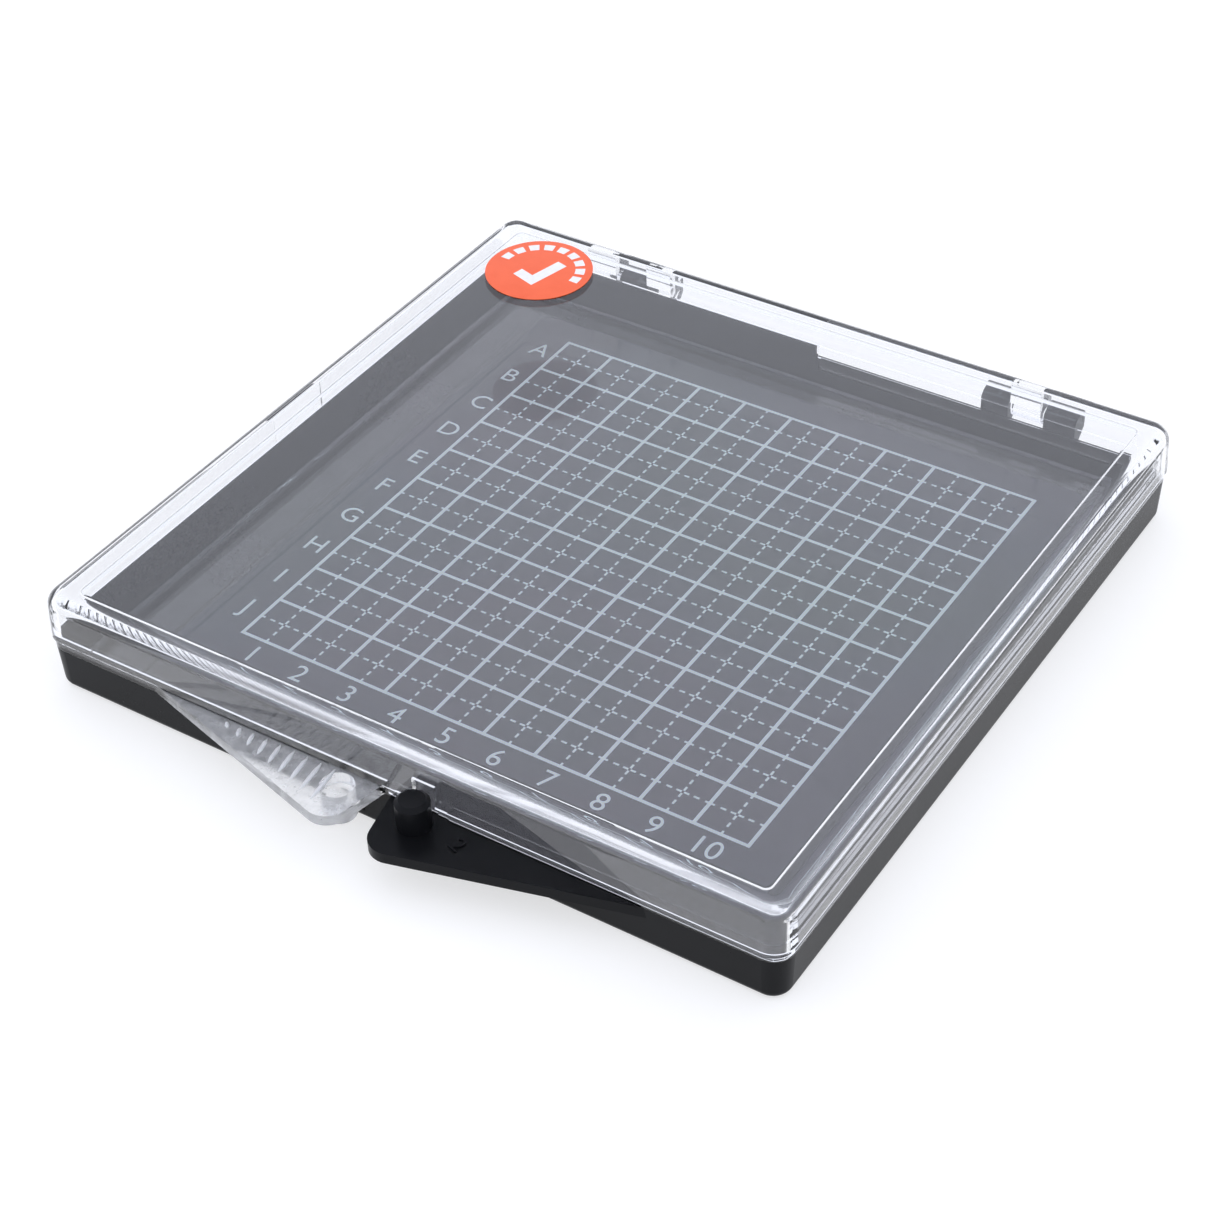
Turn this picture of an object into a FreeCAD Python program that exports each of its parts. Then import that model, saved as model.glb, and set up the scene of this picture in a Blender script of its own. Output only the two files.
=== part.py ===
import FreeCAD, Part
import math
import os

import Sketcher

# Hinged sample carrier box: a black base tray and a clear lid, moulded as two
# half shells with integral hinge lugs, finger tabs and latch posts. In the base
# lie an adhesive layer, a printed grid film and a tacky gel sheet, and a round
# label sits on the lid.
#
# Frame: millimetres, +Z up, origin at the centre of the base's underside,
# finger tabs at the front (-Y), hinge at the rear (+Y), left is -X.

doc = FreeCAD.newDocument("carrier_box")
sheet = doc.addObject("Spreadsheet::Sheet", "dims")

# alias, and its number or a formula on the aliases above it
DIMS = [
    # outer shell
    ("box_half_x", 50.0),        # lid wall, half width at its widest line
    ("box_half_y", 49.2),        # lid wall, half depth at its widest line
    ("corner_radius", 2.9),      # plan corner
    ("rim_inset", 0.3),          # lid band and base rim stand this far inside
    ("rim_half_x", "=box_half_x - rim_inset"),
    ("rim_half_y", "=box_half_y - rim_inset"),
    ("rim_corner", "=corner_radius - rim_inset"),
    ("parting_height", 5.9),     # base rim above the underside
    ("total_height", 13.6),      # lid top above the underside
    ("band_height", 1.4),        # plain band at the lid's lower edge
    ("band_top", "=parting_height + band_height"),
    ("lid_wall_height", "=total_height - band_top"),
    ("draft_angle", 2.9),        # moulding draft, degrees
    ("edge_radius", 1.0),        # rounded edge round the underside
    ("lid_edge_radius", 2.1),    # rounder edge round the lid's top
    # cavities
    ("skin_thick", 1.3),         # floor and ceiling
    ("wall_thick", 1.4),         # walls, at the parting line
    ("cavity_half_x", "=box_half_x - wall_thick"),
    ("cavity_half_y", "=box_half_y - wall_thick"),
    ("cavity_corner", 1.5),      # plan corner of the cavity
    ("floor_fillet", 0.5),       # inside the base, floor to wall
    ("ceiling_fillet", 0.4),     # inside the lid, ceiling to wall
    ("panel_step", 0.7),         # the ceiling is this much thicker round its border
    ("panel_half_x", 46.3),      # thinner middle panel of the ceiling
    ("panel_half_y", 45.9),
    ("panel_corner", 1.0),
    ("panel_fillet", 0.3),
    ("panel_level", "=total_height - skin_thick"),
    ("border_level", "=panel_level - panel_step"),
    ("base_cavity_depth", "=parting_height - skin_thick"),
    ("lid_cavity_depth", "=border_level - parting_height"),
    # rabbet that takes the other half's lip
    ("rabbet_wall", 0.85),       # what is left of the wall outside it
    ("rabbet_half_x", "=box_half_x - rabbet_wall"),
    ("rabbet_half_y", "=box_half_y - rabbet_wall"),
    ("rabbet_depth", 1.9),
    ("rabbet_corner", 0.9),      # bevel across the rabbet's two corners
    # interlocking lip, half way round each shell
    ("lip_height", 1.6),
    ("lip_thick", 0.4),
    ("lip_half_x", "=cavity_half_x + lip_thick"),
    ("lip_half_y", "=cavity_half_y + lip_thick"),
    ("lip_end", 0.4),            # lip stops this far short of the middle
    ("lip_bevel", 0.9),          # bevel across the lip's corners, outside
    ("lip_bevel_in", 0.65),      # and inside
    # hinge
    ("axis_y", 50.85),
    ("axis_z", 6.8),
    ("barrel_radius", 1.45),
    ("pin_radius", 0.7),
    ("pin_hole_radius", 0.75),
    ("pin_length", 1.6),
    ("pin_hole_depth", 1.5),
    ("knuckle_near", 27.6),      # near and far ends count from the middle
    ("knuckle_far", 31.8),
    ("ear_near_start", 23.4),
    ("ear_near_end", 27.2),
    ("ear_far_start", 32.2),
    ("ear_far_end", 36.6),
    ("lug_root_drop", 3.2),      # lug's foot on the wall, away from the parting line
    ("lug_gap", 0.35),           # lug's shoulder, away from the parting line
    ("lug_foot_level", "=parting_height - lug_root_drop"),
    ("lug_shoulder_level", "=parting_height - lug_gap"),
    ("lug_embed", 0.6),          # lug's web starts this far inside the wall line
    ("lug_toe", 0.2),            # its slope meets the foot this far inside
    # finger tab
    ("tab_far_x", 34.5),
    ("tab_tip_x", 2.2),
    ("tab_tip_y", 57.3),
    ("tab_near_x", 0.3),
    ("tab_root_y", 48.5),
    ("tab_thick", 1.4),
    ("tab_round", 2.8),
    # latch post and the slot it presses into
    ("post_x", 5.2),
    ("post_y", 51.1),
    ("post_radius", 2.0),
    ("post_height", 3.8),
    ("post_root", "=tab_thick / 2"),  # buried in the tab, so the two fuse cleanly
    ("post_chamfer", 0.5),
    ("slot_near", 3.7),
    ("slot_far", 6.7),
    ("slot_height", 4.4),
    ("slot_depth", 0.8),
    ("relief_near", 1.3),
    ("relief_far", 8.2),
    ("relief_depth", 0.55),
    ("cut_overrun", 0.5),        # wall cuts start this far outside the wall line
    # shallow gate recess on the lid's left wall
    ("gate_rear", 3.9),
    ("gate_front", 5.7),
    ("gate_depth", 0.25),
    ("gate_top_gap", 1.6),       # it stops this far below the lid's top
    # layers in the base, from the floor up
    ("layer_half_x", 47.3),
    ("layer_half_y", 46.5),
    ("layer_corner", 2.0),
    ("film_left", 40.4),
    ("film_right", 41.6),
    ("film_front", 40.5),
    ("film_rear", 43.0),
    ("adhesive_margin", 1.0),
    ("adhesive_thick", 0.05),
    ("film_thick", 0.15),
    ("gel_thick", 1.2),
    ("layer_gap", 0.005),
    ("adhesive_level", "=skin_thick + layer_gap"),
    ("film_level", "=adhesive_level + adhesive_thick + layer_gap"),
    ("gel_level", "=film_level + film_thick + layer_gap"),
    # round label on the lid
    ("label_x", 37.8),
    ("label_y", 38.1),
    ("label_radius", 7.3),
    ("label_thick", 0.12),
]
for row, (alias, content) in enumerate(DIMS, start=1):
    sheet.set("A%d" % row, alias)
    sheet.set("B%d" % row, str(content))
    sheet.setAlias("B%d" % row, alias)
doc.recompute()
sizes = {alias: float(getattr(sheet, alias)) for alias, _ in DIMS}


# Size expressions are sums and differences of aliases and numbers, with a space
# round every sign, such as "lip_half_x - lip_bevel".

def value(expr):
    """A size expression as a number."""
    total = 0.0
    sign = 1.0
    for token in expr.split():
        if token == "-":
            sign = -1.0
        elif token == "+":
            sign = 1.0
        else:
            total += sign * (sizes[token] if token in sizes else float(token))
    return total


def bound_len(expr):
    """The same expression written against the sheet, as a length."""
    tokens = ["dims." + token if token in sizes else token for token in expr.split()]
    return "(%s) * 1 mm" % " ".join(tokens)


def negate(expr):
    """The negative of an expression that has no leading sign."""
    swap = {"+": "-", "-": "+"}
    return "- " + " ".join(swap.get(token, token) for token in expr.split())


def signed(sign, expr):
    return expr if sign > 0 else negate(expr)


# Feature helpers. Each new feature's name is put after its body's label.

def new_body(label):
    body = doc.addObject("PartDesign::Body", label)
    body.Label = label
    return body


def add_feature(body, kind, name):
    return body.newObject(kind, "%s_%s" % (body.Label, name))


def attach(feature, body, role, offsets):
    """Lay a feature on an origin plane; offsets maps the plane's own axes to sizes."""
    plane = next(part for part in body.Origin.OriginFeatures if part.Role == role)
    feature.AttachmentSupport = (plane, [""])
    feature.MapMode = "FlatFace"
    for axis, expr in offsets.items():
        feature.setExpression("AttachmentOffset.Base." + axis, bound_len(expr))


def constrain(sketch, label, expr, kind, *refs):
    """Named dimension that follows the sheet."""
    index = sketch.addConstraint(Sketcher.Constraint(kind, *refs, value(expr)))
    sketch.renameConstraint(index, label)
    sketch.setExpression("Constraints." + label, bound_len(expr))


def poly_sketch(body, name, role, level, points):
    """Closed outline through points, each held from the origin by the sheet."""
    sketch = add_feature(body, "Sketcher::SketchObject", name)
    attach(sketch, body, role, {"z": level})
    corners = [FreeCAD.Vector(value(x), value(y), 0) for x, y in points]
    count = len(corners)
    for i in range(count):
        sketch.addGeometry(Part.LineSegment(corners[i], corners[(i + 1) % count]), False)
    for i in range(count):
        sketch.addConstraint(Sketcher.Constraint("Coincident", i, 2, (i + 1) % count, 1))
    for i, (x, y) in enumerate(points):
        constrain(sketch, "px%d" % i, x, "DistanceX", -1, 1, i, 1)
        constrain(sketch, "py%d" % i, y, "DistanceY", -1, 1, i, 1)
    doc.recompute()
    return sketch


def rect_points(x_start, x_end, y_start, y_end):
    return [(x_start, y_start), (x_end, y_start), (x_end, y_end), (x_start, y_end)]


def round_rect_sketch(body, name, level, half_x, half_y, radius):
    """Centred rectangle with rounded corners, on a level plane."""
    sketch = add_feature(body, "Sketcher::SketchObject", name)
    attach(sketch, body, "XY_Plane", {"z": level})
    side_x, side_y, round_size = value(half_x), value(half_y), value(radius)
    flat_x, flat_y = side_x - round_size, side_y - round_size
    # anticlockwise from the front: a side's start and end, then the centre and
    # start angle of the arc after it
    runs = [
        ((-flat_x, -side_y), (flat_x, -side_y), (flat_x, -flat_y), -90),
        ((side_x, -flat_y), (side_x, flat_y), (flat_x, flat_y), 0),
        ((flat_x, side_y), (-flat_x, side_y), (-flat_x, flat_y), 90),
        ((-side_x, flat_y), (-side_x, -flat_y), (-flat_x, -flat_y), 180),
    ]
    for start, end, centre, angle in runs:
        sketch.addGeometry(
            Part.LineSegment(FreeCAD.Vector(*start, 0), FreeCAD.Vector(*end, 0)), False)
        circle = Part.Circle(FreeCAD.Vector(*centre, 0), FreeCAD.Vector(0, 0, 1), round_size)
        sketch.addGeometry(
            Part.ArcOfCircle(circle, math.radians(angle), math.radians(angle + 90)), False)
    for i in range(8):
        sketch.addConstraint(Sketcher.Constraint("Tangent", i, 2, (i + 1) % 8, 1))
    for i in (3, 5, 7):
        sketch.addConstraint(Sketcher.Constraint("Equal", 1, i))
    for i in (0, 4):
        sketch.addConstraint(Sketcher.Constraint("Horizontal", i))
    constrain(sketch, "corner", radius, "Radius", 1)
    constrain(sketch, "front", negate(half_y), "DistanceY", -1, 1, 0, 1)
    constrain(sketch, "right", half_x, "DistanceX", -1, 1, 2, 1)
    constrain(sketch, "rear", half_y, "DistanceY", -1, 1, 4, 1)
    constrain(sketch, "left", negate(half_x), "DistanceX", -1, 1, 6, 1)
    doc.recompute()
    return sketch


def pad(body, name, sketch, length, downward=False, drafted=False):
    feature = add_feature(body, "PartDesign::Pad", name)
    feature.Profile = sketch
    feature.setExpression("Length", bound_len(length))
    feature.Reversed = downward
    if drafted:
        feature.setExpression("TaperAngle", "-1 * dims.draft_angle * 1 deg")
    doc.recompute()


def pocket(body, name, sketch, length, upward):
    """Cut that must take material away."""
    before = body.Tip.Shape.Volume
    feature = add_feature(body, "PartDesign::Pocket", name)
    feature.Profile = sketch
    feature.setExpression("Length", bound_len(length))
    feature.Reversed = upward
    doc.recompute()
    if feature.Shape.Volume >= before - 1e-6:
        raise RuntimeError(name + " removed nothing")


def cylinder(body, kind, name, role, radius, height, offsets):
    """Additive or Subtractive cylinder, standing on an origin plane."""
    feature = add_feature(body, "PartDesign::%sCylinder" % kind, name)
    attach(feature, body, role, offsets)
    feature.setExpression("Radius", bound_len(radius))
    feature.setExpression("Height", bound_len(height))
    doc.recompute()


def dress_edges(body, kind, name, test, size):
    """Fillet or Chamfer on every edge of the body that passes the test."""
    base = body.Tip
    names = ["Edge%d" % i for i, edge in enumerate(base.Shape.Edges, start=1) if test(edge)]
    if not names:
        raise RuntimeError(name + " found no edges")
    feature = add_feature(body, "PartDesign::" + kind, name)
    feature.Base = (base, names)
    feature.setExpression("Radius" if kind == "Fillet" else "Size", bound_len(size))
    doc.recompute()


def at_level(expr):
    """Test for edges that lie wholly at one height."""
    level = value(expr)

    def test(edge):
        box = edge.BoundBox
        return abs(box.ZMin - level) < 1e-4 and abs(box.ZMax - level) < 1e-4
    return test


def upright_at(x, y):
    """Test for edges that run up through one plan point."""
    def test(edge):
        box = edge.BoundBox
        return (box.ZLength >= 0.5 and abs(box.Center.x - x) < 0.05
                and abs(box.Center.y - y) < 0.05)
    return test


def is_upright(edge):
    box = edge.BoundBox
    return box.ZLength > 0.01 and box.XLength < 1e-6 and box.YLength < 1e-6


# Half shells. tab_side is the side of the middle the finger tab is on:
# 1 (right) for the base, -1 (left) for the lid.

def outer_walls(body, is_lid):
    """Solid block, drafted away from the parting line, its end edge rounded."""
    if is_lid:
        sketch = round_rect_sketch(body, "wall_outline", "band_top",
                                   "box_half_x", "box_half_y", "corner_radius")
        pad(body, "wall_block", sketch, "lid_wall_height", drafted=True)
        dress_edges(body, "Fillet", "outer_edge", at_level("total_height"), "lid_edge_radius")
        # plain band under the wall, set in a little
        sketch = round_rect_sketch(body, "band_outline", "parting_height",
                                   "rim_half_x", "rim_half_y", "rim_corner")
        pad(body, "band", sketch, "band_height")
    else:
        sketch = round_rect_sketch(body, "wall_outline", "parting_height",
                                   "rim_half_x", "rim_half_y", "rim_corner")
        pad(body, "wall_block", sketch, "parting_height", downward=True, drafted=True)
        dress_edges(body, "Fillet", "outer_edge", at_level("0"), "edge_radius")


def cavity(body, is_lid):
    """Hollow, with its floor or ceiling blended into the walls."""
    sketch = round_rect_sketch(body, "cavity_outline", "parting_height",
                               "cavity_half_x", "cavity_half_y", "cavity_corner")
    if not is_lid:
        pocket(body, "cavity", sketch, "base_cavity_depth", upward=False)
        dress_edges(body, "Fillet", "inner_edge", at_level("skin_thick"), "floor_fillet")
        return
    pocket(body, "cavity", sketch, "lid_cavity_depth", upward=True)
    dress_edges(body, "Fillet", "inner_edge", at_level("border_level"), "ceiling_fillet")
    # thinner middle panel, stepped up from the ceiling's border
    sketch = round_rect_sketch(body, "panel_outline", "border_level",
                               "panel_half_x", "panel_half_y", "panel_corner")
    pocket(body, "panel", sketch, "panel_step", upward=True)
    dress_edges(body, "Fillet", "panel_edge", at_level("panel_level"), "panel_fillet")


def rabbet(body, is_lid, tab_side):
    """Step round the tab side of the rim, where the other half's lip enters."""
    side_x = signed(tab_side, "rabbet_half_x")
    bevel_x = signed(tab_side, "rabbet_half_x - rabbet_corner")
    side_y, bevel_y = "rabbet_half_y", "rabbet_half_y - rabbet_corner"
    sketch = poly_sketch(body, "rabbet_outline", "XY_Plane", "parting_height",
                         [("0", negate(side_y)), (bevel_x, negate(side_y)),
                          (side_x, negate(bevel_y)), (side_x, bevel_y),
                          (bevel_x, side_y), ("0", side_y)])
    pocket(body, "rabbet", sketch, "rabbet_depth", upward=is_lid)


def lip(body, is_lid, tab_side):
    """Lip round the side away from the tab, standing past the parting line."""
    end_x, out_x, out_bevel_x, in_x, in_bevel_x = (
        signed(-tab_side, expr) for expr in (
            "lip_end", "lip_half_x", "lip_half_x - lip_bevel",
            "cavity_half_x", "cavity_half_x - lip_bevel_in"))
    out_y, out_bevel_y = "lip_half_y", "lip_half_y - lip_bevel"
    in_y, in_bevel_y = "cavity_half_y", "cavity_half_y - lip_bevel_in"
    sketch = poly_sketch(body, "lip_outline", "XY_Plane", "parting_height",
                         [(end_x, negate(out_y)), (out_bevel_x, negate(out_y)),
                          (out_x, negate(out_bevel_y)), (out_x, out_bevel_y),
                          (out_bevel_x, out_y), (end_x, out_y),
                          (end_x, in_y), (in_bevel_x, in_y),
                          (in_x, in_bevel_y), (in_x, negate(in_bevel_y)),
                          (in_bevel_x, negate(in_y)), (end_x, negate(in_y))])
    pad(body, "lip", sketch, "lip_height", downward=is_lid)


def span(side, near, far):
    """Left end and length of a stretch between two distances from the middle."""
    return (near if side > 0 else negate(far)), far + " " + negate(near)


def axis_cylinder(body, kind, name, radius, side, near, far):
    """Cylinder along the hinge axis."""
    left, length = span(side, near, far)
    # the YZ plane's own axes run along +Y, +Z and +X
    cylinder(body, kind, name, "YZ_Plane", radius, length,
             {"x": "axis_y", "y": "axis_z", "z": left})


def hinge(body, is_lid, tab_side):
    """A knuckle with a stub pin each side, and a pair of ears with blind holes."""
    foot, shoulder = "lug_foot_level", "lug_shoulder_level"
    if is_lid:
        # the lid's lugs are the base's turned over about the hinge axis
        foot, shoulder = ("axis_z + axis_z - " + level for level in (foot, shoulder))
    # side view of a lug's web, from the wall to the barrel: Y, Z
    web = [("box_half_y - lug_embed", shoulder), ("axis_y - barrel_radius", shoulder),
           ("axis_y - barrel_radius", "axis_z"), ("axis_y + barrel_radius", "axis_z"),
           ("axis_y + barrel_radius", shoulder),
           ("box_half_y - lug_toe", foot), ("box_half_y - lug_embed", foot)]
    for name, side, near, far in (
            ("knuckle", -tab_side, "knuckle_near", "knuckle_far"),
            ("ear_near", tab_side, "ear_near_start", "ear_near_end"),
            ("ear_far", tab_side, "ear_far_start", "ear_far_end")):
        left, length = span(side, near, far)
        sketch = poly_sketch(body, name + "_web_outline", "YZ_Plane", left, web)
        pad(body, name + "_web", sketch, length)
        axis_cylinder(body, "Additive", name + "_barrel", "barrel_radius", side, near, far)

    # one bar through the knuckle makes both stub pins
    axis_cylinder(body, "Additive", "pin", "pin_radius", -tab_side,
                  "knuckle_near - pin_length", "knuckle_far + pin_length")
    # blind holes in the ears' facing sides
    axis_cylinder(body, "Subtractive", "near_hole", "pin_hole_radius", tab_side,
                  "ear_near_end - pin_hole_depth", "ear_near_end")
    axis_cylinder(body, "Subtractive", "far_hole", "pin_hole_radius", tab_side,
                  "ear_far_start", "ear_far_start + pin_hole_depth")


def tab_and_post(body, is_lid, tab_side):
    """Finger tab, and on it a latch post with a chamfered head."""
    sketch = poly_sketch(body, "tab_outline", "XY_Plane", "parting_height",
                         [(signed(tab_side, "tab_far_x"), "- tab_root_y"),
                          (signed(tab_side, "tab_tip_x"), "- tab_tip_y"),
                          (signed(tab_side, "tab_near_x"), "- tab_root_y")])
    pad(body, "tab", sketch, "tab_thick", downward=not is_lid)
    tip = upright_at(tab_side * sizes["tab_tip_x"], -sizes["tab_tip_y"])
    dress_edges(body, "Fillet", "tab_tip", tip, "tab_round")

    if is_lid:
        post_bottom = head = "parting_height - post_height"
    else:
        post_bottom = "parting_height - post_root"
        head = "parting_height + post_height"
    cylinder(body, "Additive", "post", "XY_Plane", "post_radius", "post_height + post_root",
             {"x": signed(tab_side, "post_x"), "y": "- post_y", "z": post_bottom})
    dress_edges(body, "Chamfer", "post_head", at_level(head), "post_chamfer")


def latch_slot(body, is_lid, tab_side):
    """Slot in the front wall for the other half's post, and a relief for its tab."""
    for name, near, far, depth, height in (
            ("slot", "slot_near", "slot_far", "slot_depth", "slot_height"),
            ("relief", "relief_near", "relief_far", "relief_depth", "tab_thick")):
        points = rect_points(signed(-tab_side, near), signed(-tab_side, far),
                             "- box_half_y - cut_overrun", "- box_half_y + " + depth)
        sketch = poly_sketch(body, name + "_outline", "XY_Plane", "parting_height", points)
        pocket(body, name, sketch, height, upward=is_lid)


def gate_recess(body):
    """Shallow moulding gate recess on the left wall."""
    points = rect_points("- box_half_x - cut_overrun", "- box_half_x + gate_depth",
                         "- gate_front", "gate_rear")
    sketch = poly_sketch(body, "gate_outline", "XY_Plane", "band_top", points)
    pocket(body, "gate", sketch, "lid_wall_height - gate_top_gap", upward=True)


def half_shell(label, is_lid):
    """One half of the box. The base has its lip on the left and its tab on the
    right; the lid is the same layout turned over, so it is the mirror of it."""
    body = new_body(label)
    tab_side = -1 if is_lid else 1
    outer_walls(body, is_lid)
    cavity(body, is_lid)
    for section in (rabbet, lip, hinge, tab_and_post, latch_slot):
        section(body, is_lid, tab_side)
    if is_lid:
        gate_recess(body)
    return body


# Layers and label

def layer(label, left, right, front, rear, level, thick):
    """Thin rounded sheet; its four sides are given as distances from the middle."""
    body = new_body(label)
    sketch = poly_sketch(body, "outline", "XY_Plane", level,
                         rect_points(negate(left), right, negate(front), rear))
    pad(body, "pad", sketch, thick)
    dress_edges(body, "Fillet", "corners", is_upright, "layer_corner")
    return body


def round_label():
    """Disc on the lid's outside."""
    body = new_body("round_label")
    cylinder(body, "Additive", "disc", "XY_Plane", "label_radius", "label_thick",
             {"x": "- label_x", "y": "label_y", "z": "total_height + layer_gap"})
    return body


film_sides = ("film_left", "film_right", "film_front", "film_rear")
adhesive_sides = [side + " - adhesive_margin" for side in film_sides]
gel_sides = ("layer_half_x", "layer_half_x", "layer_half_y", "layer_half_y")
parts = [
    half_shell("base_tray", is_lid=False),
    half_shell("clear_lid", is_lid=True),
    layer("mounting_adhesive", *adhesive_sides, "adhesive_level", "adhesive_thick"),
    layer("printed_grid_film", *film_sides, "film_level", "film_thick"),
    layer("tack_gel_sheet", *gel_sides, "gel_level", "gel_thick"),
    round_label(),
]

doc.recompute()
for obj in doc.Objects:
    for state in obj.State:
        if state in ("Invalid", "Error"):
            raise RuntimeError("%s is %s" % (obj.Name, state))
for part in parts:
    shape = part.Shape
    if shape.isNull() or not shape.isValid() or len(shape.Solids) != 1:
        raise RuntimeError("%s: null, not valid or not one solid (%d)"
                           % (part.Label, len(shape.Solids)))

os.makedirs("parts", exist_ok=True)
for part in parts:
    part.Shape.exportStep(os.path.join("parts", part.Label + ".step"))
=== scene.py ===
# A shallow black tray holding a sheet of clear gel over a printed 10 x 10 grid,
# with a clear lid and a round orange label.
# Metres, +Z up: the floor lies just under z = 0 and the tabs stand out at the front (-Y).
import math

import bmesh
import bpy
from mathutils import Matrix, Vector


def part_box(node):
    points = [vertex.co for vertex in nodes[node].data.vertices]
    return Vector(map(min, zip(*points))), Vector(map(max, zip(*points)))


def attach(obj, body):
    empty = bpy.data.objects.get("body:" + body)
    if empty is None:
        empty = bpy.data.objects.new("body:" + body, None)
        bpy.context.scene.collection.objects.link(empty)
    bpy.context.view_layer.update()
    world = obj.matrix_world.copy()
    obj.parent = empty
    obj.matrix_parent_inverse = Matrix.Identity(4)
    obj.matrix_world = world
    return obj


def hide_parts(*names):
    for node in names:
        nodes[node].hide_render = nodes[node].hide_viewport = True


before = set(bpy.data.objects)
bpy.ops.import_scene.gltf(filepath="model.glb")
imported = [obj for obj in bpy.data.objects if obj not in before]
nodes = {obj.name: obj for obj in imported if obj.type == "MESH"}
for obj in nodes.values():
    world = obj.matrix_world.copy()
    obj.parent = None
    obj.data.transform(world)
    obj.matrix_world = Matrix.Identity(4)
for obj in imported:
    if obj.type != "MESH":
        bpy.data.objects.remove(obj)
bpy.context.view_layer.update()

MM = 0.001


# ---------------------------------------------------------------- shader helper

class Shader:
    """A new material with short ways to add and link its nodes."""

    def __init__(self, name):
        self.material = bpy.data.materials.new(name)
        self.material.use_nodes = True
        self.tree = self.material.node_tree
        self.tree.nodes.clear()
        self.out = self.add("ShaderNodeOutputMaterial")

    def add(self, kind, **props):
        node = self.tree.nodes.new(kind)
        for key, value in props.items():
            setattr(node, key, value)
        return node

    def feed(self, socket, value):
        """Link an output to the socket, or set a plain value on it."""
        if isinstance(value, bpy.types.NodeSocket):
            self.tree.links.new(value, socket)
        else:
            socket.default_value = value

    def coords(self, scale=(1, 1, 1), rotation=(0, 0, 0)):
        source = self.add("ShaderNodeTexCoord")
        mapping = self.add("ShaderNodeMapping")
        mapping.inputs["Scale"].default_value = scale
        mapping.inputs["Rotation"].default_value = rotation
        self.feed(mapping.inputs["Vector"], source.outputs["Object"])
        return mapping.outputs["Vector"]

    def noise(self, vector, scale, detail, rough):
        node = self.add("ShaderNodeTexNoise")
        node.inputs["Scale"].default_value = scale
        node.inputs["Detail"].default_value = detail
        node.inputs["Roughness"].default_value = rough
        self.feed(node.inputs["Vector"], vector)
        return node.outputs["Fac"]

    def ramp(self, fac, stops):
        """Colour ramp; stops are (position, (r, g, b))."""
        node = self.add("ShaderNodeValToRGB")
        elements = node.color_ramp.elements
        while len(elements) < len(stops):
            elements.new(0.5)
        for element, (position, colour) in zip(elements, stops):
            element.position = position
            element.color = (*colour, 1)
        self.feed(node.inputs["Fac"], fac)
        return node.outputs["Color"]

    def to_range(self, value, low, high, from_low=0.0, from_high=1.0):
        node = self.add("ShaderNodeMapRange")
        node.inputs["From Min"].default_value = from_low
        node.inputs["From Max"].default_value = from_high
        node.inputs["To Min"].default_value = low
        node.inputs["To Max"].default_value = high
        self.feed(node.inputs["Value"], value)
        return node.outputs["Result"]

    def bump(self, height, strength, distance, normal=None):
        node = self.add("ShaderNodeBump")
        node.inputs["Strength"].default_value = strength
        node.inputs["Distance"].default_value = distance
        self.feed(node.inputs["Height"], height)
        if normal is not None:
            self.feed(node.inputs["Normal"], normal)
        return node.outputs["Normal"]

    def math(self, operation, first, second):
        node = self.add("ShaderNodeMath", operation=operation)
        self.feed(node.inputs[0], first)
        self.feed(node.inputs[1], second)
        return node.outputs[0]

    def surface(self, **values):
        """Principled surface on the output; returns the finished material."""
        node = self.add("ShaderNodeBsdfPrincipled")
        for key, value in values.items():
            self.feed(node.inputs[key.replace("_", " ")], value)
        self.feed(self.out.inputs["Surface"], node.outputs[0])
        return self.material


# ---------------------------------------------------------------- materials

def clear_styrene():
    """Clear polystyrene with hairline scratches, lightly frosted in front of the wall."""
    sh = Shader("clear_styrene")
    place = sh.coords()
    streaks = sh.coords(scale=(60, 3000, 60), rotation=(0, 0, 0.55))
    scratch = sh.noise(streaks, scale=1.0, detail=1.0, rough=0.3)
    lines = sh.ramp(scratch, [(0.74, (0, 0, 0)), (0.77, (1, 1, 1))])
    axes = sh.add("ShaderNodeSeparateXYZ")
    sh.feed(axes.inputs[0], place)
    # 1 on the tab, 0 from the wall back, blended over a short span of y
    front = sh.to_range(axes.outputs[1], low=1.0, high=0.0, from_low=-0.0497, from_high=-0.0493)
    frost = sh.noise(place, scale=900.0, detail=3.0, rough=0.6)
    patchy = sh.to_range(frost, low=0.35, high=1.0, from_low=0.3, from_high=0.7)
    haze = sh.math("MULTIPLY", front, patchy)
    scratched = sh.bump(lines, strength=0.012, distance=0.000008)
    frosted = sh.bump(sh.math("MULTIPLY", haze, frost), strength=0.25, distance=0.00003,
                      normal=scratched)
    rough = sh.math("ADD", sh.to_range(lines, low=0.0, high=0.03),
                    sh.math("MULTIPLY", haze, 0.22))
    clear = sh.math("SUBTRACT", 1.0, sh.math("MULTIPLY", haze, 0.30))
    return sh.surface(Base_Color=(0.996, 0.997, 1.0, 1), Roughness=rough, IOR=1.59,
                      Transmission_Weight=clear, Normal=frosted)


def tab_styrene():
    """The frosted plastic of the grip ribs on the lid's tab."""
    sh = Shader("tab_styrene")
    frost = sh.noise(sh.coords(), scale=1400.0, detail=3.0, rough=0.6)
    normal = sh.bump(frost, strength=0.25, distance=0.00003)
    return sh.surface(Base_Color=(0.985, 0.99, 1.0, 1),
                      Roughness=sh.to_range(frost, low=0.25, high=0.45), IOR=1.59,
                      Transmission_Weight=0.35, Normal=normal)


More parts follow.
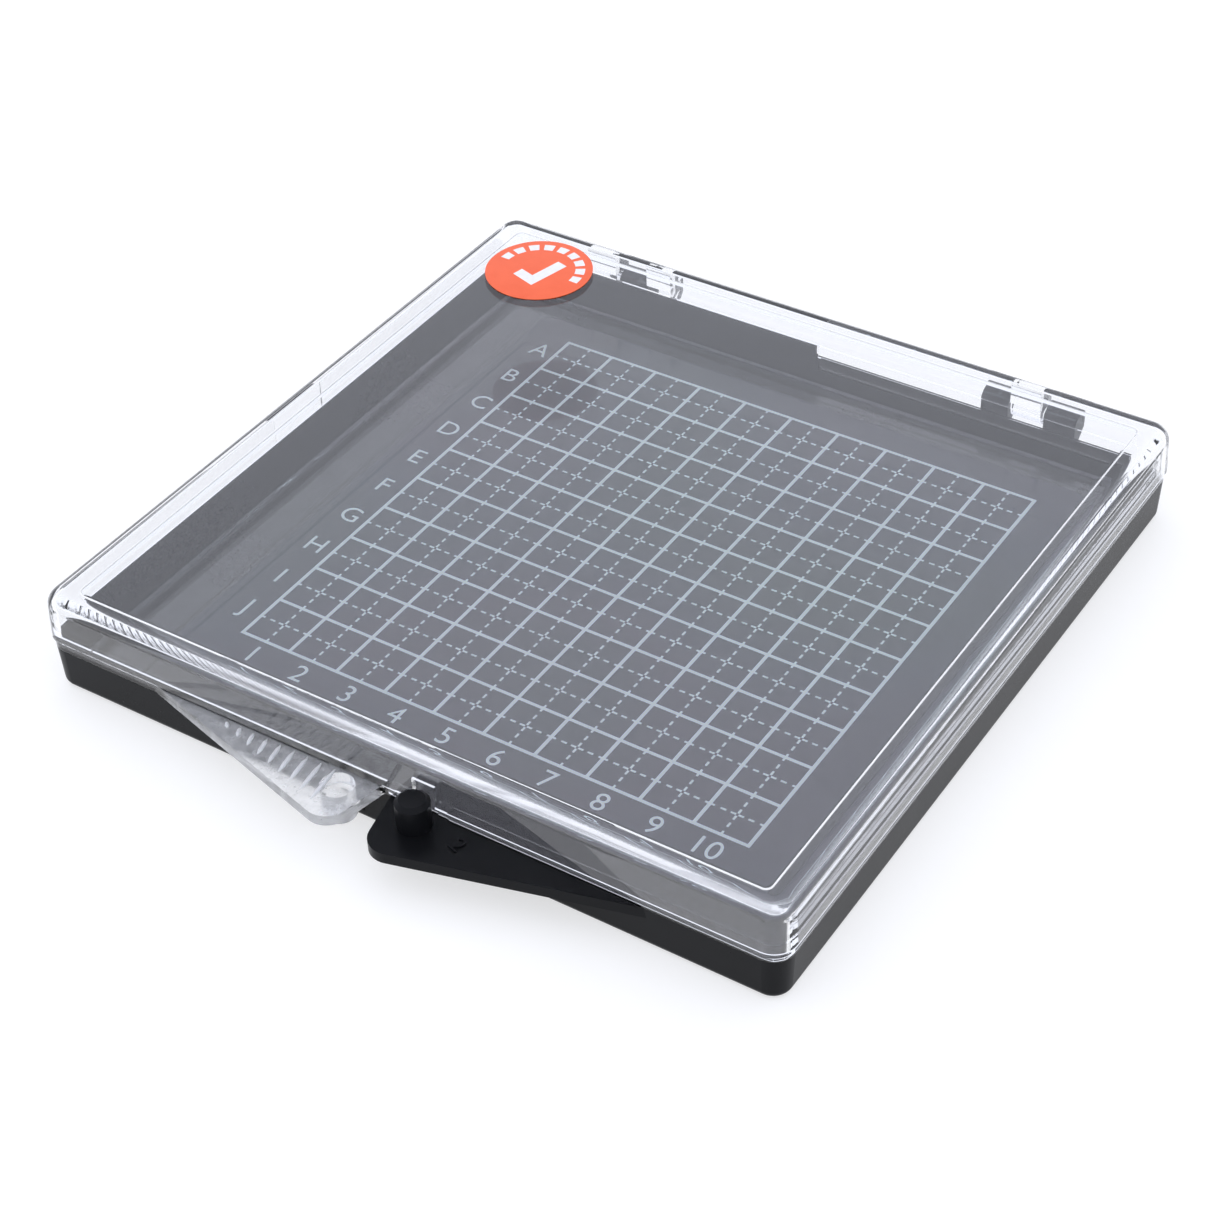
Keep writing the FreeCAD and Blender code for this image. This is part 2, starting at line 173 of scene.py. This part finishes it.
def black_styrene():
    """Black satin polystyrene with fine drag marks."""
    sh = Shader("black_styrene")
    place = sh.coords()
    cloud = sh.noise(place, scale=55.0, detail=3.0, rough=0.55)
    grain = sh.noise(place, scale=2400.0, detail=2.0, rough=0.6)
    drag = sh.noise(sh.coords(scale=(25, 25, 420)), scale=1.0, detail=2.0, rough=0.5)
    colour = sh.ramp(cloud, [(0.3, (0.0045, 0.0048, 0.0056)), (0.75, (0.0070, 0.0073, 0.0084))])
    rough = sh.math("ADD", sh.to_range(cloud, low=0.22, high=0.34),
                    sh.to_range(grain, low=-0.03, high=0.05))
    dragged = sh.bump(drag, strength=0.04, distance=0.00002)
    grained = sh.bump(grain, strength=0.08, distance=0.00002, normal=dragged)
    return sh.surface(Base_Color=colour, Roughness=rough, IOR=1.5, Specular_IOR_Level=0.10,
                      Normal=grained)


def tack_gel():
    """Clear silicone gel with faint shifts of tint and a very soft surface wave."""
    sh = Shader("tack_gel")
    place = sh.coords()
    wave = sh.noise(place, scale=16.0, detail=1.0, rough=0.4)
    fine = sh.noise(place, scale=300.0, detail=1.0, rough=0.5)
    normal = sh.bump(wave, strength=0.03, distance=0.0006)
    tint = sh.noise(place, scale=17.0, detail=1.0, rough=0.5)
    colour = sh.ramp(tint, [(0.30, (0.93, 1.0, 0.965)), (0.50, (0.97, 0.975, 1.0)),
                            (0.70, (1.0, 0.955, 1.0))])
    return sh.surface(Base_Color=colour, Roughness=sh.to_range(fine, low=0.0, high=0.02),
                      IOR=1.41, Transmission_Weight=1.0, Normal=normal)


def grid_film():
    """Dark polyester film under the gel."""
    sh = Shader("grid_film")
    place = sh.coords()
    cloud = sh.noise(place, scale=19.0, detail=1.0, rough=0.4)
    speck = sh.noise(place, scale=4000.0, detail=1.0, rough=0.5)
    colour = sh.ramp(cloud, [(0.34, (0.060, 0.080, 0.082)), (0.47, (0.062, 0.074, 0.102)),
                             (0.60, (0.086, 0.074, 0.104)), (0.70, (0.064, 0.080, 0.092))])
    normal = sh.bump(speck, strength=0.05, distance=0.00001)
    return sh.surface(Base_Color=colour, Roughness=0.32, IOR=1.5, Normal=normal)


def grid_ink_painted_glow():
    """Pale printed ink with slightly uneven cover; its emission adds a painted glow that
    brightens it.
    """
    sh = Shader("grid_ink_painted_glow")
    place = sh.coords()
    cover = sh.noise(place, scale=2600.0, detail=3.0, rough=0.6)
    slow = sh.noise(place, scale=60.0, detail=2.0, rough=0.5)
    density = sh.math("MULTIPLY", sh.to_range(cover, low=0.82, high=1.08),
                      sh.to_range(slow, low=0.92, high=1.04))
    colour = sh.add("ShaderNodeVectorMath", operation="SCALE")
    colour.inputs[0].default_value = (0.80, 0.93, 1.0)
    sh.feed(colour.inputs["Scale"], density)
    normal = sh.bump(cover, strength=0.15, distance=0.00001)
    # the emission is a painted glow that lifts the ink's brightness; the base colour is the ink's
    # own
    return sh.surface(Base_Color=colour.outputs[0], Roughness=0.55, IOR=1.5, Normal=normal,
                      Emission_Color=(0.80, 0.92, 1.0, 1), Emission_Strength=0.20)


def film_adhesive():
    """Dark, blotchy adhesive."""
    sh = Shader("film_adhesive")
    blot = sh.noise(sh.coords(), scale=400.0, detail=4.0, rough=0.6)
    colour = sh.ramp(blot, [(0.35, (0.02, 0.02, 0.022)), (0.7, (0.035, 0.035, 0.037))])
    normal = sh.bump(blot, strength=0.2, distance=0.00002)
    return sh.surface(Base_Color=colour, Roughness=sh.to_range(blot, low=0.3, high=0.6),
                      IOR=1.47, Normal=normal)


def label_orange():
    """Orange coated label stock."""
    sh = Shader("label_orange")
    place = sh.coords()
    fibre = sh.noise(sh.coords(scale=(900, 2400, 900), rotation=(0, 0, 0.4)),
                     scale=1.0, detail=4.0, rough=0.65)
    mottle = sh.noise(place, scale=300.0, detail=3.0, rough=0.6)
    colour = sh.ramp(mottle, [(0.25, (0.93, 0.125, 0.036)), (0.8, (1.0, 0.155, 0.052))])
    normal = sh.bump(fibre, strength=0.12, distance=0.00002)
    return sh.surface(Base_Color=colour, Roughness=sh.to_range(fibre, low=0.38, high=0.55),
                      IOR=1.48, Normal=normal)


def label_white_ink():
    """White ink printed on the label."""
    sh = Shader("label_white_ink")
    cover = sh.noise(sh.coords(), scale=1800.0, detail=3.0, rough=0.6)
    colour = sh.ramp(cover, [(0.25, (0.86, 0.83, 0.80)), (0.7, (0.95, 0.94, 0.92))])
    normal = sh.bump(cover, strength=0.1, distance=0.00001)
    return sh.surface(Base_Color=colour, Roughness=0.5, Normal=normal)


def studio_floor():
    """Matt grey floor that glows, so it renders near white."""
    sh = Shader("studio_floor")
    mottle = sh.noise(sh.coords(), scale=14.0, detail=4.0, rough=0.5)
    colour = sh.ramp(mottle, [(0.3, (0.44, 0.44, 0.44)), (0.7, (0.47, 0.47, 0.47))])
    return sh.surface(Base_Color=colour, Roughness=0.9, Emission_Color=(1, 1, 1, 1),
                      Emission_Strength=0.61,
                      Normal=sh.bump(mottle, strength=0.05, distance=0.0002))


CLEAR = clear_styrene()
TAB = tab_styrene()
BLACK = black_styrene()
GEL = tack_gel()
FILM = grid_film()
INK_PAINTED_GLOW = grid_ink_painted_glow()
ADHESIVE = film_adhesive()
ORANGE = label_orange()
WHITE = label_white_ink()


# ---------------------------------------------------------------- mesh tools

def add_piece(name, bm, material, body, smooth=True, replaces=None):
    mesh = bpy.data.meshes.new(name)
    bmesh.ops.recalc_face_normals(bm, faces=bm.faces)
    bm.to_mesh(mesh)
    bm.free()
    mesh.materials.append(material)
    for polygon in mesh.polygons:
        polygon.use_smooth = smooth
    if smooth:
        mesh.set_sharp_from_angle(angle=math.radians(32))
    obj = bpy.data.objects.new(name, mesh)
    bpy.context.scene.collection.objects.link(obj)
    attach(obj, body)
    if replaces:
        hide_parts(replaces)


def prism(bm, outline, z0, z1):
    """Closed prism from a plan outline of (x, y)."""
    low = [bm.verts.new((x, y, z0)) for x, y in outline]
    top = [bm.verts.new((x, y, z1)) for x, y in outline]
    bm.faces.new(list(reversed(low)))
    bm.faces.new(top)
    count = len(outline)
    for i in range(count):
        j = (i + 1) % count
        bm.faces.new((low[i], low[j], top[j], top[i]))


def loft(bm, rings):
    """Rings of equal length joined and capped at both ends."""
    rows = [[bm.verts.new(point) for point in ring] for ring in rings]
    count = len(rows[0])
    for row, following in zip(rows, rows[1:]):
        for i in range(count):
            j = (i + 1) % count
            bm.faces.new((row[i], row[j], following[j], following[i]))
    bm.faces.new(list(reversed(rows[0])))
    bm.faces.new(rows[-1])


def round_rect(x0, x1, y0, y1, radius, segments):
    points = []
    for cx, cy, start in ((x1 - radius, y0 + radius, -90), (x1 - radius, y1 - radius, 0),
                          (x0 + radius, y1 - radius, 90), (x0 + radius, y0 + radius, 180)):
        for k in range(segments + 1):
            angle = math.radians(start + 90 * k / segments)
            points.append((cx + radius * math.cos(angle), cy + radius * math.sin(angle)))
    return points


def add_text(name, text, size, x, y, z0, thick, material, rotation=0.0):
    """Lettering on the base as a closed mesh, its box centred on x, y."""
    curve = bpy.data.curves.new(name + "_curve", "FONT")
    curve.body = text
    # drawn at unit size, then brought down to the real size
    curve.size = 1.0
    curve.align_x = "CENTER"
    curve.align_y = "CENTER"
    curve.extrude = thick / size / 2
    curve.resolution_u = 6
    carrier = bpy.data.objects.new(name + "_tmp", curve)
    bpy.context.scene.collection.objects.link(carrier)
    depsgraph = bpy.context.evaluated_depsgraph_get()
    mesh = bpy.data.meshes.new_from_object(carrier.evaluated_get(depsgraph))
    mesh.name = name
    bpy.data.objects.remove(carrier)
    bpy.data.curves.remove(curve)

    bm = bmesh.new()
    bm.from_mesh(mesh)
    bmesh.ops.remove_doubles(bm, verts=bm.verts, dist=1e-5)
    bmesh.ops.scale(bm, vec=(size, size, size), verts=bm.verts)
    xs = [vert.co.x for vert in bm.verts]
    ys = [vert.co.y for vert in bm.verts]
    middle = Vector(((min(xs) + max(xs)) / 2, (min(ys) + max(ys)) / 2, 0))
    bmesh.ops.translate(bm, verts=bm.verts, vec=-middle)
    bmesh.ops.rotate(bm, cent=(0, 0, 0), matrix=Matrix.Rotation(rotation, 3, "Z"), verts=bm.verts)
    bmesh.ops.translate(bm, verts=bm.verts, vec=(x, y, z0 + thick / 2))
    bm.to_mesh(mesh)
    bm.free()
    mesh.materials.clear()
    mesh.materials.append(material)
    obj = bpy.data.objects.new(name, mesh)
    bpy.context.scene.collection.objects.link(obj)
    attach(obj, "base")


# ---------------------------------------------------------------- CAD shells

for shell, material in (("base_tray", BLACK), ("clear_lid", CLEAR),
                        ("printed_grid_film", FILM), ("mounting_adhesive", ADHESIVE)):
    slots = nodes[shell].data.materials
    for i in range(len(slots)):
        slots[i] = material

film_low, film_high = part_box("printed_grid_film")


# ---------------------------------------------------------------- gel sheet

def build_gel():
    """Flat sheet whose rim creeps a little way up the tray walls."""
    low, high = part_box("tack_gel_sheet")
    corner = 2.0 * MM
    rise = 0.25 * MM
    # the underside is sunk into the film's thickness
    bottom = film_low.z + 0.4 * (film_high.z - film_low.z)
    # inset from the sheet's edge in mm, z
    sections = (
        (0.25, bottom), (0.0, bottom + 0.08 * MM), (0.0, high.z - 0.1 * MM),
        (0.02, high.z + rise * 0.5), (0.10, high.z + rise * 0.75), (0.22, high.z + rise * 0.6),
        (0.40, high.z + rise * 0.3), (0.70, high.z + rise * 0.08), (1.20, high.z))
    rings = []
    for inset_mm, z in sections:
        inset = inset_mm * MM
        outline = round_rect(low.x + inset, high.x - inset, low.y + inset, high.y - inset,
                             radius=corner - inset, segments=12)
        rings.append([(x, y, z) for x, y in outline])
    bm = bmesh.new()
    loft(bm, rings)
    add_piece("gel_sheet", bm, GEL, "base", replaces="tack_gel_sheet")


build_gel()

# ---------------------------------------------------------------- printed grid

CELL_X, CELL_Y = 7.0 * MM, 7.13 * MM
COUNT = 10
WIDTH, DEPTH = CELL_X * COUNT, CELL_Y * COUNT
# left and front edges; the grid sits a little off the film's centre
GRID_X = (film_low.x + film_high.x) / 2 + 0.6 * MM - WIDTH / 2
GRID_Y = (film_low.y + film_high.y) / 2 + 1.8 * MM - DEPTH / 2
INK_LOW, INK_TOP = film_high.z - 0.01 * MM, film_high.z + 0.02 * MM
HALF_LINE = 0.46 * MM / 2
HALF_DASH = 0.29 * MM / 2
# start and end of each dash in mm, measured from the cell's side towards its middle
DASH_SPANS = ((HALF_LINE / MM, 0.62), (1.35, 2.10), (2.65, 3.35))
LETTER_SIZE = 4.0 * MM


def ink_bar(bm, x0, x1, y0, y1):
    prism(bm, [(x0, y0), (x1, y0), (x1, y1), (x0, y1)], INK_LOW, INK_TOP)


def build_grid_lines():
    """Bars along x run full width; bars along y fill between them."""
    bm = bmesh.new()
    for j in range(COUNT + 1):
        y = GRID_Y + j * CELL_Y
        ink_bar(bm, GRID_X - HALF_LINE, GRID_X + WIDTH + HALF_LINE, y - HALF_LINE, y + HALF_LINE)
    for i in range(COUNT + 1):
        x = GRID_X + i * CELL_X
        for j in range(COUNT):
            ink_bar(bm, x - HALF_LINE, x + HALF_LINE,
                    GRID_Y + j * CELL_Y + HALF_LINE, GRID_Y + (j + 1) * CELL_Y - HALF_LINE)
    add_piece("grid_lines", bm, INK_PAINTED_GLOW, "base", smooth=False)


def dash_ends(centre, cell, side, span):
    return sorted(centre + side * (cell / 2 - distance * MM) for distance in span)


def build_grid_dashes():
    """A dashed cross in every cell."""
    bm = bmesh.new()
    for i in range(COUNT):
        for j in range(COUNT):
            cx, cy = GRID_X + (i + 0.5) * CELL_X, GRID_Y + (j + 0.5) * CELL_Y
            for span in DASH_SPANS:
                for side in (-1, 1):
                    x0, x1 = dash_ends(cx, CELL_X, side, span)
                    ink_bar(bm, x0, x1, cy - HALF_DASH, cy + HALF_DASH)
                    y0, y1 = dash_ends(cy, CELL_Y, side, span)
                    ink_bar(bm, cx - HALF_DASH, cx + HALF_DASH, y0, y1)
    add_piece("grid_dashes", bm, INK_PAINTED_GLOW, "base", smooth=False)


def build_grid_text():
    """Letters down the left side, from the back row, and numbers along the front."""
    thick = INK_TOP - INK_LOW
    for k in range(COUNT):
        row_y = GRID_Y + DEPTH - (k + 0.5) * CELL_Y
        # the column of letters drifts left towards the front
        add_text("row_letter_%02d" % (k + 1), "ABCDEFGHIJ"[k], LETTER_SIZE,
                 GRID_X - (2.4 + 0.045 * k) * MM, row_y + 0.2 * MM, INK_LOW, thick, INK_PAINTED_GLOW)
        add_text("column_number_%02d" % (k + 1), str(k + 1), LETTER_SIZE,
                 GRID_X + (k + 0.5) * CELL_X, GRID_Y - 2.5 * MM, INK_LOW, thick, INK_PAINTED_GLOW)


build_grid_lines()
build_grid_dashes()
build_grid_text()

# ---------------------------------------------------------------- round label

label_low, label_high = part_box("round_label")
LABEL_X = (label_low.x + label_high.x) / 2
LABEL_Y = (label_low.y + label_high.y) / 2
LABEL_R = (label_high.x - label_low.x) / 2
# tick outline, x and y in mm before it is shifted and turned
TICK = ((-3.4, 0.2), (-2.3, 1.4), (-0.8, -0.2), (2.5, 3.2), (3.7, 2.0), (-0.8, -2.6))
TICK_SHIFT_Y = -1.2
TICK_TURN = math.radians(30)


def on_label(radius, angle):
    return LABEL_X + radius * math.cos(angle), LABEL_Y + radius * math.sin(angle)


def label_arc(radius, start, end, steps=5):
    return [on_label(radius, start + (end - start) * s / steps) for s in range(steps + 1)]


def build_label_disc():
    segments = 96
    bottom, top = label_low.z, label_high.z
    # radius, z
    profile = ((LABEL_R - 0.05 * MM, bottom), (LABEL_R, bottom + 0.02 * MM),
               (LABEL_R, top - 0.03 * MM), (LABEL_R - 0.02 * MM, top - 0.008 * MM),
               (LABEL_R - 0.06 * MM, top))
    bm = bmesh.new()
    loft(bm, [[(*on_label(radius, 2 * math.pi * i / segments), z) for i in range(segments)]
              for radius, z in profile])
    add_piece("label_disc", bm, ORANGE, "lid", replaces="round_label")


def build_label_print():
    """An arc of short bars round a tick."""
    bottom, top = label_high.z - 0.005 * MM, label_high.z + 0.015 * MM
    bm = bmesh.new()
    for k in range(9):
        middle = 172 - k * 21.0
        start, end = math.radians(middle - 7.0), math.radians(middle + 7.0)
        outline = label_arc(LABEL_R * 0.86, start, end) + label_arc(LABEL_R * 0.68, end, start)
        prism(bm, outline, bottom, top)
    cos, sin = math.cos(TICK_TURN), math.sin(TICK_TURN)
    shifted = [(x, y + TICK_SHIFT_Y) for x, y in TICK]
    prism(bm, [(LABEL_X + (x * cos - y * sin) * MM, LABEL_Y + (x * sin + y * cos) * MM)
               for x, y in shifted], bottom, top)
    add_piece("label_print", bm, WHITE, "lid", smooth=False)


build_label_disc()
build_label_print()

# ---------------------------------------------------------------- tabs

TAB_TOP = 7.3 * MM
# the tab's front edge slants forward from this corner as x grows
TAB_CORNER_X, TAB_CORNER_Y = -34.5 * MM, -48.2 * MM
TAB_SLOPE = 9.1 / 32.3
RIB_FIRST_X, RIB_PITCH = -21.6, 1.9  # mm
RIB_BACK_Y = -49.75 * MM
RIB_EDGE_GAP = 1.25 * MM
RIB_LEAN = 0.55 * MM  # shift in x from back end to front end
RIB_HALF_WIDTH = 0.28 * MM
RIB_LOW, RIB_TOP = TAB_TOP - 0.02 * MM, TAB_TOP + 0.20 * MM


def build_tab_ribs():
    """Half-round grip ribs, tapered at both ends, in step with the slanting edge."""
    bm = bmesh.new()
    for k in range(9):
        x = (RIB_FIRST_X + RIB_PITCH * k) * MM
        front_y = TAB_CORNER_Y - (x - TAB_CORNER_X) * TAB_SLOPE + RIB_EDGE_GAP
        rings = []
        for step in range(9):
            along = step / 8.0
            y = RIB_BACK_Y + (front_y - RIB_BACK_Y) * along
            middle_x = x + RIB_LEAN * along
            taper = min(1.0, 0.25 + 3.0 * min(along, 1 - along))
            ring = []
            for i in range(9):
                angle = math.pi * i / 8.0
                ring.append((middle_x - RIB_HALF_WIDTH * taper * math.cos(angle), y,
                             RIB_LOW + (RIB_TOP - RIB_LOW) * math.sin(angle) * taper))
            rings.append(ring)
        loft(bm, rings)
    add_piece("tab_grip_ribs", bm, TAB, "lid")


build_tab_ribs()

# mould cavity number, raised a hair on the black tab
add_text("cavity_number", "2", size=2.9 * MM, x=11.2 * MM, y=-51.3 * MM, z0=5.88 * MM,
         thick=0.24 * MM, material=BLACK, rotation=-0.3)


# ---------------------------------------------------------------- studio

def build_floor():
    bpy.ops.mesh.primitive_grid_add(x_subdivisions=2, y_subdivisions=2, size=6.0,
                                    location=(0, 0, -0.0001))
    floor = bpy.context.object
    floor.name = "studio_floor"
    floor.data.materials.append(studio_floor())


def build_world():
    """Even, slightly blue light from all round."""
    world = bpy.data.worlds.new("studio")
    bpy.context.scene.world = world
    world.use_nodes = True
    tree = world.node_tree
    tree.nodes.clear()
    output = tree.nodes.new("ShaderNodeOutputWorld")
    background = tree.nodes.new("ShaderNodeBackground")
    background.inputs["Color"].default_value = (0.93, 0.965, 1.08, 1)
    background.inputs["Strength"].default_value = 1.1
    tree.links.new(background.outputs[0], output.inputs["Surface"])


def build_camera():
    """Looks down from the front right."""
    lens = bpy.data.cameras.new("camera")
    lens.sensor_fit = "HORIZONTAL"
    lens.sensor_width = 36.0
    lens.lens = 77.49
    lens.clip_start = 0.01
    lens.clip_end = 20
    camera = bpy.data.objects.new("camera", lens)
    camera.location = (0.13639, -0.20748, 0.20359)
    camera.rotation_euler = (0.8784963716, 0.0273694464, 0.5691035468)
    bpy.context.scene.collection.objects.link(camera)
    bpy.context.scene.camera = camera


def set_render():
    view = bpy.context.scene.view_settings
    view.view_transform = "Standard"
    view.look = "None"
    view.exposure = 0.0
    view.gamma = 1.0
    # many bounces, so light gets through the stacked clear layers
    cycles = bpy.context.scene.cycles
    cycles.max_bounces = 128
    cycles.transmission_bounces = 128
    cycles.glossy_bounces = 128
    cycles.diffuse_bounces = 8
    cycles.transparent_max_bounces = 16
    cycles.caustics_refractive = True
    cycles.caustics_reflective = True


build_floor()
build_world()
build_camera()
set_render()
